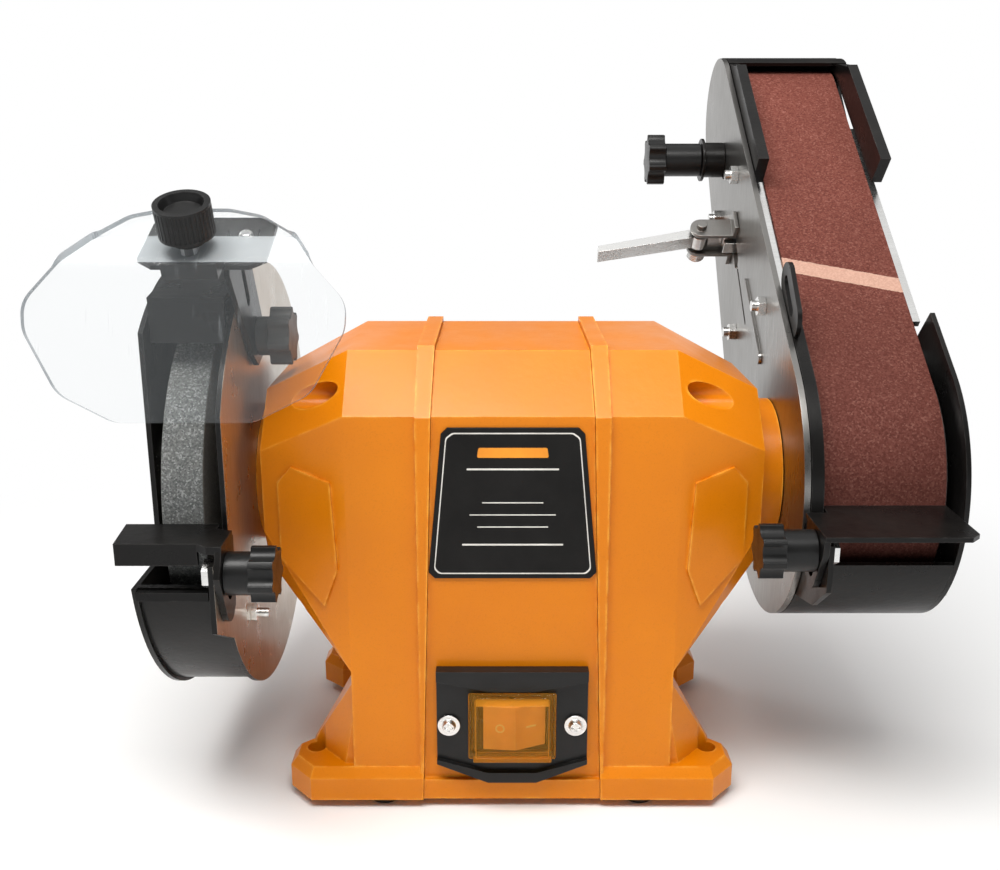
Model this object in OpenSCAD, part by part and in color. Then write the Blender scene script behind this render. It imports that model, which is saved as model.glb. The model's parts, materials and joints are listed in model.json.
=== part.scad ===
// Bench grinder: a grinding wheel on the left end of the spindle and a sanding belt on the right.
// Origin at the centre of the four base bolt holes, on the underside of the castings.
// X runs along the spindle to the right, Y to the back, Z up.  All sizes in millimetres.

/* [Housing] */
// Height of the spindle above the underside of the castings
shaft_h = 125; // [122:1:130]
// Distance between base bolt holes along the spindle
hole_x = 168; // [160:1:170]
// Distance between base bolt holes from front to back
hole_y = 91; // [88:1:94]
// Radius of the base bolt holes
base_hole_r = 4; // [3:0.5:4.5]
// Thickness of the feet
foot_t = 14; // [12:1:16]

/* [Grinding wheel] */
// Diameter of the grinding wheel
wheel_d = 150; // [140:1:152]
// Width of the grinding wheel
wheel_w = 16; // [12:1:16]
// Bore of the grinding wheel
wheel_bore = 12.7; // [12.7:0.1:13]

/* [Belt sander] */
// Width of the sanding belt
belt_w = 50; // [46:1:50]
// Length of the sanding belt
belt_len = 686; // [670:1:700]
// Radius of the driven drum
drum_r = 53; // [50:1:53]
// Radius of the idler roller
idler_r = 23; // [20:1:23]
// Lean of the belt arm behind the vertical
arm_lean = 46; // [30:1:60]

/* [Hidden] */
$fn = 64;
e = 0.01;
gap = 0.3;
running = 0.05;

orange = [0.93, 0.56, 0.07];
black = [0.06, 0.06, 0.065];
steel = [0.72, 0.73, 0.74];
grey = [0.45, 0.44, 0.42];
copper = [0.72, 0.36, 0.18];
stone = [0.55, 0.57, 0.56];
abrasive = [0.42, 0.17, 0.13];
clear = [0.85, 0.9, 0.92, 0.3];

// housing
seam_top = 31;
seam_low = 37;
body_x = 66;
bell_x = 101;
boss_x = 107;
collar_x = 112.9;
spigot_x = 118;
flat_y = 35;
top_z = 61;
crease_y = 57;
crease_z = 39;
skirt_y = 61;
stator_r = 50;
stator_half = 29;
front_tilt = atan((skirt_y - crease_y) / (shaft_h + crease_z));
base_y = 64;
foot_at = 54;
cover_screw_x = 50;
cover_screw_y = 44.5;
cord_z = 30;
cord_r = 3.7;
switch_screw_x = 26;
through_y = 42;
through_up = 44;
through_low = -46;

// spindle
mid_r = 9;
journal_r = 7.5;
bearing_r = 17.5;
bearing_x = 86;
bearing_w = 11;
ball_r = 2.9;
ball_path = 12.5;
end_r = wheel_bore / 2;
shoulder_x = 112;
wheel_x = -133;
wheel_in = wheel_x + wheel_w;
blotter = 0.4;
flange_r = 26;
flange_t = 3.4;
nut_t = 6.2;

// left guard
guard_r = 90;
sheet = 2;
guard_in = -109;
guard_out = -142;
rim = 1.6;
mouth_low = 12;
mouth_up = 60;

// belt arm
belt_t = 1;
belt_x = 122;
belt_end = belt_x + belt_w;
drum_mid = drum_r + gap + belt_t / 2;
idler_mid = idler_r + gap + belt_t / 2;
straight = belt_len - 180 * (drum_mid + idler_mid) * PI / 180;
centre_c = (straight + sqrt(pow(straight, 2) - 8 * pow(drum_mid - idler_mid, 2))) / 4;
run_tilt = asin((drum_mid - idler_mid) / centre_c);
plate_x = 113.2;
plate_t = 2.5;
guard_x = 116;
cover_x = 176;
lip_w = 5;
lip_depth = 6.5;
arm_low_r = 63;
arm_top_r = 31;
spigot_r = 24;
lever_z = 134;
track_z = 188;
lever_arm = 14;
slot_travel = 7.4;

// ---------------------------------------------------------------- helpers

// extrude a YZ outline along X, from x0 by t
module yz(x0, t) {
  translate([x0, 0, 0]) rotate([90, 0, 90]) linear_extrude(t) children();
}

// extrude an XZ outline along Y, from y0 towards the front by t
module xz(y0, t) {
  translate([0, y0, 0]) rotate([90, 0, 0]) linear_extrude(t) children();
}

module xcyl(x0, x1, r) {
  translate([x0, 0, 0]) rotate([0, 90, 0]) cylinder(h = x1 - x0, r = r);
}

module ring_x(x0, x1, r_out, r_in) {
  difference() {
    xcyl(x0, x1, r_out);
    xcyl(x0 - 1, x1 + 1, r_in);
  }
}

// carry a piece up to the spindle axis
module at_shaft() {
  translate([0, 0, shaft_h]) children();
}

// the belt arm's own frame: Z runs from the drum to the idler, -Y faces the operator
module on_arm() {
  at_shaft() rotate([-arm_lean, 0, 0]) children();
}

module both_ends() {
  children();
  mirror([1, 0, 0]) children();
}

module four_corners(x, y) {
  for (sx = [-1, 1])
    for (sy = [-1, 1])
      translate([sx * x, sy * y, 0]) children();
}

module bar_slot(length, r) {
  translate([-length / 2, -r]) square([length, 2 * r]);
  for (s = [-1, 1])
    translate([s * length / 2, 0]) circle(r);
}

// hexagon head or nut along X
module hex_x(x0, x1, r) {
  translate([x0, 0, 0]) rotate([0, 90, 0]) cylinder(h = x1 - x0, r = r, $fn = 6);
}

// outline of two wheels of radius low and top with their two tangents
module tangent_outline(low, top, length) {
  tilt = asin((low - top) / length);
  circle(low);
  translate([0, length]) circle(top);
  polygon([
    [-low * cos(tilt), low * sin(tilt)],
    [low * cos(tilt), low * sin(tilt)],
    [top * cos(tilt), length + top * sin(tilt)],
    [-top * cos(tilt), length + top * sin(tilt)]
  ]);
}

// ---------------------------------------------------------------- housing

module body_outline(grow) {
  polygon([
    [-skirt_y - grow, 0],
    [-crease_y - grow, shaft_h + crease_z],
    [-flat_y - grow / 2, shaft_h + top_z + grow],
    [flat_y + grow / 2, shaft_h + top_z + grow],
    [crease_y + grow, shaft_h + crease_z],
    [skirt_y + grow, 0]
  ]);
}

// the part of the body that the end castings taper from
module root_outline() {
  intersection() {
    body_outline(0);
    translate([-skirt_y, shaft_h - 68]) square([2 * skirt_y, 2 * skirt_y + 20]);
  }
}

module end_outline() {
  translate([0, shaft_h])
    polygon([[-38, -28], [-46, -12], [-46, 22], [-26, 43], [26, 43], [46, 22], [46, -12], [38, -28]]);
}

module bell(grow) {
  hull() {
    yz(body_x - 4, 4) scale([1 + grow / 60, 1]) root_outline();
    yz(bell_x - 1, 1) scale([1 + grow / 45, 1]) end_outline();
  }
}

// everything outside the seam that leans out towards the base
module outside_seam(offset_x) {
  xz(base_y + 20, 2 * base_y + 40)
    polygon([
      [seam_low + offset_x, 0],
      [seam_top + offset_x, shaft_h + top_z],
      [seam_top + offset_x, shaft_h + top_z + 10],
      [150, shaft_h + top_z + 10],
      [150, 0]
    ]);
}

module foot(front) {
  mirror([0, front ? 0 : 1, 0]) hull() {
    linear_extrude(foot_t - 4)
      polygon([[30, -base_y], [84, -base_y], [94, -base_y + 11], [94, -42], [84, -33], [30, -33]]);
    linear_extrude(foot_t)
      polygon([[30, -base_y + 3], [83, -base_y + 3], [91, -base_y + 12], [91, -43], [83, -36], [30, -36]]);
  }
}

module gusset(front) {
  mirror([0, front ? 0 : 1, 0]) hull() {
    translate([60, -skirt_y + 3, foot_t - 1]) cube([2, 20, 44]);
    translate([60, -skirt_y + 3, foot_t - 1]) cube([10, 2, 1]);
    translate([60, -skirt_y + 21, foot_t - 1]) cube([26, 4, 1]);
  }
}

module raised_panel(y_side) {
  intersection() {
    bell(1.4);
    xz(y_side > 0 ? 70 : 0, 70) translate([0, shaft_h])
      polygon([[70, -24], [72, 12], [88, 17], [94, 10], [94, -22], [76, -40]]);
  }
}

module casting_bores() {
  at_shaft() {
    xcyl(20, 82, stator_r);
    xcyl(80, bearing_x + bearing_w, bearing_r);
    xcyl(80, 130, mid_r + 1);
    for (sy = [-1, 1])
      for (z = [through_up, through_low])
        translate([0, sy * through_y, z]) {
          xcyl(20, 130, 2.6);
          xcyl(58, 130, 5.5);
        }
  }
  // hollow pedestal and the recess of the bottom cover
  translate([20, -42, -1]) cube([38, 84, shaft_h - 40]);
  translate([20, -47, -1]) cube([43, 94, 3]);
  four_corners(hole_x / 2, hole_y / 2) translate([0, 0, -1]) cylinder(h = foot_t + 30, r = base_hole_r);
  four_corners(foot_at, foot_at) translate([0, 0, -1]) cylinder(h = 12, r = 2);
  four_corners(cover_screw_x, cover_screw_y) cylinder(h = 12, r = 1.45);
}

module end_casting(nose_x, nose_r) {
  difference() {
    union() {
      intersection() {
        union() {
          yz(28, body_x - 28) body_outline(0);
          yz(28, 10) body_outline(2);
          foot(true);
          foot(false);
        }
        outside_seam(0.1);
      }
      bell(0);
      raised_panel(-1);
      raised_panel(1);
      gusset(true);
      gusset(false);
      at_shaft() xcyl(bell_x - 5, nose_x, nose_r);
    }
    casting_bores();
  }
}

// three tapped holes round the spindle
module tapped_holes(x0, x1, at, r, turn) {
  for (i = [0:2])
    rotate([i * 120 + turn, 0, 0]) translate([0, 0, at]) xcyl(x0, x1, r);
}

module left_casting() color(orange) difference() {
  mirror([1, 0, 0]) end_casting(boss_x - 0.1, 30);
  at_shaft() tapped_holes(-boss_x - 1, -boss_x + 12, 25.5, 2.15, 60);
}

module right_casting() color(orange) difference() {
  union() {
    end_casting(collar_x, 32);
    at_shaft() ring_x(collar_x - 1, spigot_x, spigot_r, mid_r + 1);
  }
  at_shaft() tapped_holes(collar_x - 8, spigot_x + 1, 17, 2.05, 0);
}

module centre_shell() color(orange) {
  difference() {
    intersection() {
      union() {
        yz(-40, 80) body_outline(0);
        translate([-40, -base_y + 1, 0]) cube([80, 2 * base_y - 2, 9]);
      }
      xz(base_y + 20, 2 * base_y + 40)
        polygon([
          [-seam_low, 0],
          [seam_low, 0],
          [seam_top, shaft_h + top_z],
          [-seam_top, shaft_h + top_z]
        ]);
    }
    at_shaft() {
      xcyl(-50, 50, stator_r);
      for (sy = [-1, 1])
        for (z = [through_up, through_low])
          translate([0, sy * through_y, z]) xcyl(-50, 50, 2.6);
    }
    translate([-50, -42, -1]) cube([100, 84, shaft_h - 40]);
    translate([-50, -47, -1]) cube([100, 94, 3]);
    // window of the switch, its two screw holes and the cord hole at the back
    translate([-17.5, -70, switch_z - 14]) cube([35, 40, 28]);
    for (s = [-1, 1])
      translate([s * switch_screw_x, -40, switch_z]) rotate([90, 0, 0]) cylinder(h = 40, r = 1.5);
    translate([0, 80, cord_z]) rotate([90, 0, 0]) cylinder(h = 60, r = 7.1);
  }
}

module housing_bolts() color(steel) at_shaft() {
  for (sy = [-1, 1])
    for (z = [through_up, through_low])
      translate([0, sy * through_y, z]) {
        xcyl(-59.5, 61, 2.4);
        hex_x(57.9 + 0.3, 61.5, 4.4);
        hex_x(-61.5, -58.2, 4.4);
      }
}

module bottom_cover() color(steel) {
  difference() {
    translate([-62.5, -46.5, 0.4]) cube([125, 93, 1.4]);
    four_corners(cover_screw_x, cover_screw_y) translate([0, 0, -1]) cylinder(h = 5, r = 1.7);
  }
}

module base_screws() color(steel) {
  four_corners(cover_screw_x, cover_screw_y) {
    translate([0, 0, 0.4 - e]) cylinder(h = 9, r = 1.35);
    translate([0, 0, -1]) cylinder(h = 1.4, r = 2.3);
  }
  four_corners(foot_at, foot_at) {
    translate([0, 0, -2.6]) cylinder(h = 12, r = 1.9);
    translate([0, 0, -3.6]) cylinder(h = 1.2, r = 3.1);
  }
}

module rubber_feet() color(black) {
  four_corners(foot_at, foot_at) difference() {
    translate([0, 0, -4]) cylinder(h = 4, r1 = 6.6, r2 = 7.4);
    translate([0, 0, -5]) cylinder(h = 2.6, r = 3.4);
    translate([0, 0, -5]) cylinder(h = 10, r = 2.1);
  }
}

// ---------------------------------------------------------------- front plates and switch

switch_z = shaft_h - 90;

// carry an upright XZ outline onto the leaning front face
module on_front(lift, t) {
  translate([0, -skirt_y - lift, 0]) rotate([-front_tilt, 0, 0]) rotate([90, 0, 0])
    linear_extrude(t) children();
}

module nameplate() color(black) {
  on_front(0.15, 0.8) translate([0, shaft_h])
    polygon([
      [-25.5, 35],
      [25.5, 35],
      [28, 32.5],
      [33.5, -24.5],
      [31, -27],
      [-31, -27],
      [-33.5, -24.5],
      [-28, 32.5]
    ]);
}

module bezel_outline() {
  polygon([[-31, 24.5], [31, 24.5], [31, -17], [10, -25.5], [-10, -25.5], [-31, -17]]);
}

module switch_bezel() color(black) {
  difference() {
    union() {
      on_front(0.1, 3) translate([0, switch_z]) bezel_outline();
      on_front(3, 2.4) translate([0, switch_z])
        polygon([[-31, 24.5], [31, 24.5], [31, 20], [9, 15.6], [-9, 15.6], [-31, 20]]);
      on_front(3, 2.4) translate([0, switch_z])
        polygon([
          [-31, -15],
          [-10, -21],
          [10, -21],
          [31, -15],
          [31, -17],
          [10, -25.5],
          [-10, -25.5],
          [-31, -17]
        ]);
    }
    on_front(-5, 20) translate([0, switch_z]) square([33.4, 27.4], center = true);
    for (s = [-1, 1])
      translate([s * switch_screw_x, -40, switch_z]) rotate([90, 0, 0]) cylinder(h = 40, r = 1.8);
  }
}

module switch_screws() color(steel) {
  for (s = [-1, 1])
    translate([s * switch_screw_x, 0, switch_z]) {
      translate([0, -50, 0]) rotate([90, 0, 0]) cylinder(h = 16, r = 1.4);
      difference() {
        union() {
          translate([0, -63.6, 0]) rotate([90, 0, 0]) cylinder(h = 0.9, r = 4.6);
          translate([0, -64.4, 0]) rotate([90, 0, 0]) cylinder(h = 2, r1 = 3, r2 = 2.2);
        }
        translate([0, -66.4, 0]) cube([0.8, 2.6, 3.4], center = true);
        translate([0, -66.4, 0]) cube([3.4, 2.6, 0.8], center = true);
      }
    }
}

module switch_body() color(black) {
  difference() {
    translate([-16.5, -60.5, switch_z - 13.5]) cube([33, 26, 27]);
    translate([-14.5, -66, switch_z - 11]) cube([29, 26, 22]);
  }
  translate([0, rocker_y, switch_z - 12]) cylinder(h = 24, r = 1.5);
}

module switch_cover() color(clear) {
  difference() {
    union() {
      translate([-18, -65.7, switch_z - 14.8]) cube([36, 1.8, 29.6]);
      translate([-16, -71.5, switch_z - 13]) cube([32, 7, 26]);
    }
    translate([-15, -70.5, switch_z - 12]) cube([30, 10, 24]);
  }
}

rocker_y = -58;

module rocker() color(orange) {
  translate([0, rocker_y, switch_z]) rotate([0, 0, 9]) translate([0, 0, -9.8]) difference() {
    linear_extrude(19.6) polygon([[-13, -6], [0, -9.4], [13, -6], [10, 3], [3, 7], [-3, 7], [-10, 3]]);
    translate([0, 0, -1]) cylinder(h = 30, r = 1.5 + running);
  }
}

module capacitor() color([0.85, 0.85, 0.83]) {
  translate([-28, 18, 22]) rotate([0, 90, 0]) cylinder(h = 62, r = 15);
  for (y = [-4, 4])
    translate([34 - e, 18 + y, 20]) cube([6, 0.8, 5]);
}

module cord_gland() color(black) {
  difference() {
    union() {
      translate([0, 62.6, cord_z]) rotate([90, 0, 0]) cylinder(h = 20, r = 7);
      translate([0, 67, cord_z]) rotate([90, 0, 0]) cylinder(h = 6, r1 = 8.5, r2 = 10);
    }
    translate([0, 80, cord_z]) rotate([90, 0, 0]) cylinder(h = 60, r = cord_r);
  }
}

// ---------------------------------------------------------------- motor

module stator_core() color(grey) at_shaft() {
  difference() {
    xcyl(-stator_half, stator_half, stator_r);
    xcyl(-50, 50, 25.4);
    for (i = [0:11])
      rotate([i * 30, 0, 0]) translate([-50, -3, 28]) cube([100, 6, 11]);
    for (i = [0:11])
      rotate([i * 30, 0, 0]) translate([-50, -1, 20]) cube([100, 2, 10]);
  }
}

module windings() color(copper) at_shaft() {
  for (s = [-1, 1])
    ring_x(s > 0 ? stator_half + gap : -44, s > 0 ? 44 : -stator_half - gap, 40, 28.5);
  for (i = [0:11])
    rotate([i * 30, 0, 0]) translate([-40, -2.6, 28.6]) cube([80, 5.2, 9.8]);
}

module bearing_races(r_out, r_in) {
  both_ends() translate([bearing_x + bearing_w / 2, 0, 0]) rotate([0, 90, 0]) difference() {
    translate([0, 0, -bearing_w / 2 + 0.1]) cylinder(h = bearing_w - 0.2, r = r_out);
    translate([0, 0, -bearing_w]) cylinder(h = 2 * bearing_w, r = r_in);
    rotate_extrude() translate([ball_path, 0]) circle(r = ball_r + running);
  }
}

module outer_rings() color(steel) at_shaft() bearing_races(bearing_r, 14.8);

module inner_rings() color(steel) at_shaft() bearing_races(10.3, journal_r);

module bearing_balls() color(steel) at_shaft() {
  both_ends() for (i = [0:7])
    rotate([i * 45, 0, 0]) translate([bearing_x + bearing_w / 2, 0, ball_path]) sphere(r = ball_r);
}

module shaft() color(steel) at_shaft() {
  xcyl(-84, 84, mid_r);
  xcyl(-shoulder_x, 119, journal_r);
  xcyl(-144.2, -100, end_r);
  xcyl(110, 154, end_r);
}

module rotor() color(grey) at_shaft() {
  ring_x(-stator_half, stator_half, 25, mid_r);
  for (s = [-1, 1])
    ring_x(s > 0 ? stator_half - e : -36, s > 0 ? 36 : -stator_half + e, 24, 14);
  for (i = [0:7])
    rotate([i * 45, 0, 0]) translate([-42, -1, 17]) cube([84, 2, 6.5]);
}

// ---------------------------------------------------------------- grinding wheel

module grinding_wheel() color(stone) at_shaft() {
  difference() {
    xcyl(wheel_x, wheel_in, wheel_d / 2);
    xcyl(wheel_x - 1, wheel_in + 1, end_r + 0.05);
  }
}

module wheel_blotters() color([0.75, 0.68, 0.5]) at_shaft() {
  ring_x(wheel_in, wheel_in + blotter, 30, end_r + 0.3);
  ring_x(wheel_x - blotter, wheel_x, 30, end_r + 0.3);
}

module wheel_flanges() color(steel) at_shaft() {
  difference() {
    union() {
      xcyl(wheel_in + blotter, wheel_in + blotter + flange_t, flange_r);
      xcyl(wheel_in + blotter, -shoulder_x, 14);
    }
    xcyl(-200, 0, end_r);
    xcyl(wheel_in, wheel_in + blotter + 1, 19);
  }
  difference() {
    xcyl(wheel_x - blotter - flange_t, wheel_x - blotter, flange_r);
    xcyl(-200, 0, end_r);
    xcyl(wheel_x - blotter - 1, wheel_x, 19);
  }
}

module spindle_nuts() color(steel) at_shaft() {
  difference() {
    union() {
      hex_x(wheel_x - blotter - flange_t - nut_t, wheel_x - blotter - flange_t, 11);
      hex_x(belt_x + 20, belt_x + 29, 11);
      xcyl(belt_x + 18 + e, belt_x + 20 + e, 14);
    }
    xcyl(-200, 200, end_r);
  }
}

// ---------------------------------------------------------------- left guard

// wedge in front of the wheel, between two angles above and below the horizontal
module mouth_wedge(low, up) {
  reach = 300;
  polygon([
    [0, 0],
    [-reach * cos(low), -reach * sin(low)],
    [-reach, reach],
    [-reach * cos(up), reach * sin(up)]
  ]);
}

module left_guard() color(black) at_shaft() {
  difference() {
    union() {
      difference() {
        ring_x(guard_out + sheet, guard_in + e, guard_r, guard_r - sheet);
        yz(-200, 200) mouth_wedge(mouth_low, mouth_up);
      }
      difference() {
        xcyl(guard_in, guard_in + sheet, guard_r + rim);
        yz(-200, 200) translate([-180, -guard_r * sin(mouth_low)]) square([100, 90]);
      }
      // flat lip under the mouth
      translate([guard_out + sheet, -guard_r - 1.5, -guard_r * sin(mouth_low) - 4])
        cube([guard_in - guard_out - sheet - 4, 5, 3.4]);
      // ear that carries the tool rest
      yz(guard_in, sheet) polygon([[-82, -42], [-104, -30], [-104, -4], [-82, -4], [-60, -20]]);
      // lugs that take the cover screws
      for (a = lug_angles)
        rotate([a, 0, 0]) translate([0, 0, lug_r]) xcyl(guard_out + sheet, guard_out + 14, 4.6);
    }
    xcyl(-200, 0, 22);
    for (i = [0:2])
      rotate([i * 120 + 60, 0, 0]) translate([0, 0, 25.5]) xcyl(-200, 0, 2.2);
    for (a = lug_angles)
      rotate([a, 0, 0]) translate([0, 0, lug_r]) xcyl(guard_out - 1, guard_out + 15, 1.8);
    translate([0, left_rest_y, left_rest_z]) xcyl(-200, 0, 3.1);
    translate([0, pivot_y, pivot_z]) xcyl(-200, 0, 3.1);
    translate([0, low_bolt_y, low_bolt_z]) xcyl(-200, 0, 2.1);
    rotate([arrestor_angle, 0, 0]) translate([-124, 0, 80]) cylinder(h = 20, r = 2.1);
  }
}

lug_angles = [-20, -110, 160, 110];
lug_r = 84;
arrestor_angle = 10;
low_bolt_y = -50;
low_bolt_z = -46;

module guard_screws() color(steel) at_shaft() {
  // through the inner plate into the casting
  for (i = [0:2])
    rotate([i * 120 + 60, 0, 0]) translate([0, 0, 25.5]) {
      xcyl(guard_in - e, guard_in + 8, 2.1);
      hex_x(guard_in - 2.6, guard_in, 4);
    }
  // round the outer cover
  for (a = lug_angles)
    rotate([a, 0, 0]) translate([0, 0, lug_r]) {
      xcyl(guard_out - e, guard_out + 13, 1.7);
      xcyl(guard_out - 2, guard_out, 3.4);
    }
  // spark arrestor
  rotate([arrestor_angle, 0, 0]) translate([-124, 0, 0]) {
    translate([0, 0, guard_r - 4.5]) cylinder(h = 7, r = 2);
    translate([0, 0, guard_r + sheet + 0.35]) cylinder(h = 2.6, r = 4);
    translate([0, 0, guard_r - 5.4]) cylinder(h = 3, r = 3.6, $fn = 6);
  }
  // small bolt low on the inner plate
  translate([0, low_bolt_y, low_bolt_z]) {
    xcyl(guard_in - 1, guard_in + sheet + 7, 2);
    hex_x(guard_in - 2.6, guard_in, 3.6);
    hex_x(guard_in + sheet, guard_in + sheet + 2.4, 4);
  }
  // nut of the tool rest's knob
  translate([0, left_rest_y, left_rest_z]) difference() {
    hex_x(-112.6, guard_in - 0.1, 5.6);
    xcyl(-130, 0, 3);
  }
}

module left_cover() color(black) at_shaft() {
  difference() {
    union() {
      difference() {
        xcyl(guard_out, guard_out + sheet - e, guard_r + rim);
        yz(-200, 200) translate([-180, -guard_r * sin(mouth_low)]) square([123, 150]);
      }
      translate([guard_out - 5.5, 0, 0]) rotate([0, 90, 0]) cylinder(h = 5.5 + e, r1 = 22, r2 = 26);
    }
    translate([guard_out - 4, 0, 0]) rotate([0, 90, 0]) cylinder(h = 4.1, r1 = 20.2, r2 = 24);
    xcyl(guard_out - 0.1, guard_out + sheet + 1, 24);
    for (a = lug_angles)
      rotate([a, 0, 0]) translate([0, 0, lug_r]) xcyl(guard_out - 1, guard_out + 15, 1.9);
  }
}

module spark_arrestor() color(black) at_shaft() {
  rotate([arrestor_angle, 0, 0]) difference() {
    translate([-139, -37, guard_r + gap]) cube([29.5, 49, sheet]);
    translate([-124, 0, guard_r - 1]) linear_extrude(9) rotate(90) bar_slot(8, 2.3);
  }
  yz(-139, 29) polygon([[-52, 67], [-52, 84.4], [-49, 84.9], [-49.6, 82], [-50, 67]]);
}

// ---------------------------------------------------------------- eye shield

strip_tilt = 24;
shield_x = -115;
pivot_y = -20;
pivot_z = 64;

// frame of the sloped strip: origin under the knob, +Z along the knob, -Y down to the front
module on_strip() {
  at_shaft() translate([0, -73.5, 104.7]) rotate([strip_tilt, 0, 0]) children();
}

module shield_bracket() color(black) {
  on_strip() translate([0, 0, -10.2]) difference() {
    linear_extrude(2)
      polygon([[-138, 8], [-132, 3], [-96, 3], [-90.5, 8], [-90.5, 34], [-97, 39], [-131, 39], [-138, 34]]);
    for (x = rivet_x)
      translate([x, 22, -1]) cylinder(h = 6, r = 1.6);
  }
  at_shaft() difference() {
    yz(guard_in + sheet + 0.2, 2.2)
      polygon([[-60, 101.2], [-38, 111.4], [-33, 108], [-9, 68], [-11, 55], [-22, 52], [-31, 58], [-62, 94]]);
    translate([0, pivot_y, pivot_z]) xcyl(-200, 0, 3.15);
    yz(-200, 200) translate([-37, 87]) rotate(-62) bar_slot(14, 2.4);
  }
}

rivet_x = [-130, -100];

module bracket_rivets() color(steel) {
  on_strip() for (x = rivet_x)
    translate([x, 22, 0]) {
      translate([0, 0, -10.6]) cylinder(h = 5, r = 1.5);
      translate([0, 0, -6.6]) cylinder(h = 1.4, r1 = 3, r2 = 2.2);
      translate([0, 0, -11.3]) cylinder(h = 1, r1 = 2, r2 = 2.6);
    }
}

module lobed_head(x0, x1, r, lobes) {
  difference() {
    xcyl(x0, x1, r);
    for (i = [0:lobes - 1])
      rotate([(i + 0.5) * 360 / lobes, 0, 0]) translate([0, 0, r * 1.2]) xcyl(x0 - 1, x1 + 1, r * 0.42);
  }
}

module bracket_knob() color(grey) at_shaft() translate([0, pivot_y, pivot_z]) {
  lobed_head(-99, -90, 12, 7);
  xcyl(-104.4, -98, 8);
  xcyl(-115, -103, 2.95);
}

module shield_clamp() color(black) {
  on_strip() difference() {
    union() {
      translate([shield_x - 10, -7, -8]) cube([20, 25, 6.2]);
      translate([shield_x, 0, -1.9]) cylinder(h = 1.6, r = 7);
      translate([-134, 16, -8]) cube([38, 12, 1.2]);
    }
    translate([shield_x, 0, -12]) cylinder(h = 20, r = 2.55);
    for (x = rivet_x)
      translate([x, 22, -9]) cylinder(h = 6, r = 1.6);
  }
}

module shield_knob() color(black) {
  on_strip() translate([shield_x, 0, 0]) {
    translate([0, 0, -7.5]) cylinder(h = 14, r = 2.5);
    translate([0, 0, 3.4]) cylinder(h = 3.4, r = 6);
    difference() {
      translate([0, 0, 6.4]) cylinder(h = 12, r = 10);
      translate([0, 0, 15.6]) cylinder(h = 4, r1 = 6.5, r2 = 8.6);
      for (i = [0:35])
        rotate([0, 0, i * 10]) translate([10.3, 0, 7.4]) cylinder(h = 10, r = 0.6);
    }
  }
}

module eye_shield() color(clear) {
  on_strip() translate([shield_x, 0, 0]) {
    difference() {
      union() {
        translate([0, -8.8, 0]) linear_extrude(3) polygon([[-44, 0], [44, 0], [36, 17.6], [-36, 17.6]]);
        translate([0, 8.8, 0]) rotate([34, 0, 0]) linear_extrude(3)
          polygon([[-36, 0], [36, 0], [24, 7.5], [12, 10], [-12, 10], [-24, 7.5]]);
        translate([0, -8.8, 0]) rotate([50.5, 0, 0]) mirror([0, 1, 0]) linear_extrude(3)
          offset(r = 12) offset(delta = -12)
            polygon([
              [-44, -1],
              [44, -1],
              [56.5, 14],
              [56, 24],
              [44, 46],
              [24, 56],
              [-24, 56],
              [-44, 46],
              [-56, 24],
              [-56.5, 14]
            ]);
      }
      translate([0, 3, -2]) linear_extrude(9) rotate(90) bar_slot(10, 3);
    }
  }
}

// ---------------------------------------------------------------- tool rests

rest_slope = 20;
rest_t = 3;
right_rest_t = 2;
leg_t = 2.4;
left_rest_y = -95;
left_rest_z = -10;
left_rest_top = 2.5;
right_rest_y = -80;
right_rest_z = -7;
right_rest_top = 3;

// upright leg from the underside of a rest down past its knob, with the slot the rest slides on
module rest_leg(x0, front_y, back_y, top_z, knob_y, knob_z, drop) {
  difference() {
    yz(x0, leg_t) {
      polygon([
        [front_y, top_z],
        [back_y, top_z],
        [knob_y + 11, knob_z - drop + 3],
        [knob_y + 9.5, knob_z - drop - 4],
        [knob_y - 4, knob_z - drop - 1],
        [knob_y - 11, knob_z + 2]
      ]);
      translate([knob_y + 3, knob_z - drop]) circle(6.8);
    }
    yz(x0 - 5, 15) translate([knob_y + 1, knob_z - 3]) rotate(rest_slope - 90) bar_slot(11, 3.2);
  }
}

module left_rest() color(black) at_shaft() {
  translate([0, 0, left_rest_top - rest_t]) linear_extrude(rest_t)
    polygon([
      [-144, -98],
      [-114, -98],
      [-110, -101],
      [-104.4, -101],
      [-104.4, -84],
      [-110.5, -82],
      [-110.5, -77],
      [-146, -77]
    ]);
  // front edge bent down
  translate([-144, -98, -6]) cube([30, 2.4, 6]);
  rest_leg(-106.8, -101, -83, left_rest_top - 2, left_rest_y, left_rest_z, 13);
}

module right_rest() color(black) at_shaft() {
  translate([0, 0, right_rest_top - right_rest_t]) linear_extrude(right_rest_t)
    polygon([[113.4, -93], [167, -93], [171, -89], [171, -57], [121.8, -57], [121.8, -65.5], [113.4, -65.5]]);
  rest_leg(113.4, -92, -68, right_rest_top - 1, right_rest_y, right_rest_z, 9);
}

module left_rest_knob() color(black) at_shaft() translate([0, left_rest_y, left_rest_z]) {
  lobed_head(-95, -86, 10.5, 7);
  xcyl(-104.1, -94, 8);
  xcyl(-113, -103, 2.95);
}

module right_rest_knob() color(black) at_shaft() translate([0, right_rest_y, right_rest_z]) {
  lobed_head(92, 101, 10.5, 7);
  xcyl(100, 113.1, 8);
  xcyl(112, 121, 2.95);
}

// ---------------------------------------------------------------- belt arm

run_bolts = [58, 150];
run_bolt_y = -44.5;
guide_bolts = [[20, 90], [20, 165]];

// frame of the belt's front run: -Y is its outward normal, Z runs up along it
module on_run() {
  on_arm() rotate([-run_tilt, 0, 0]) children();
}

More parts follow.
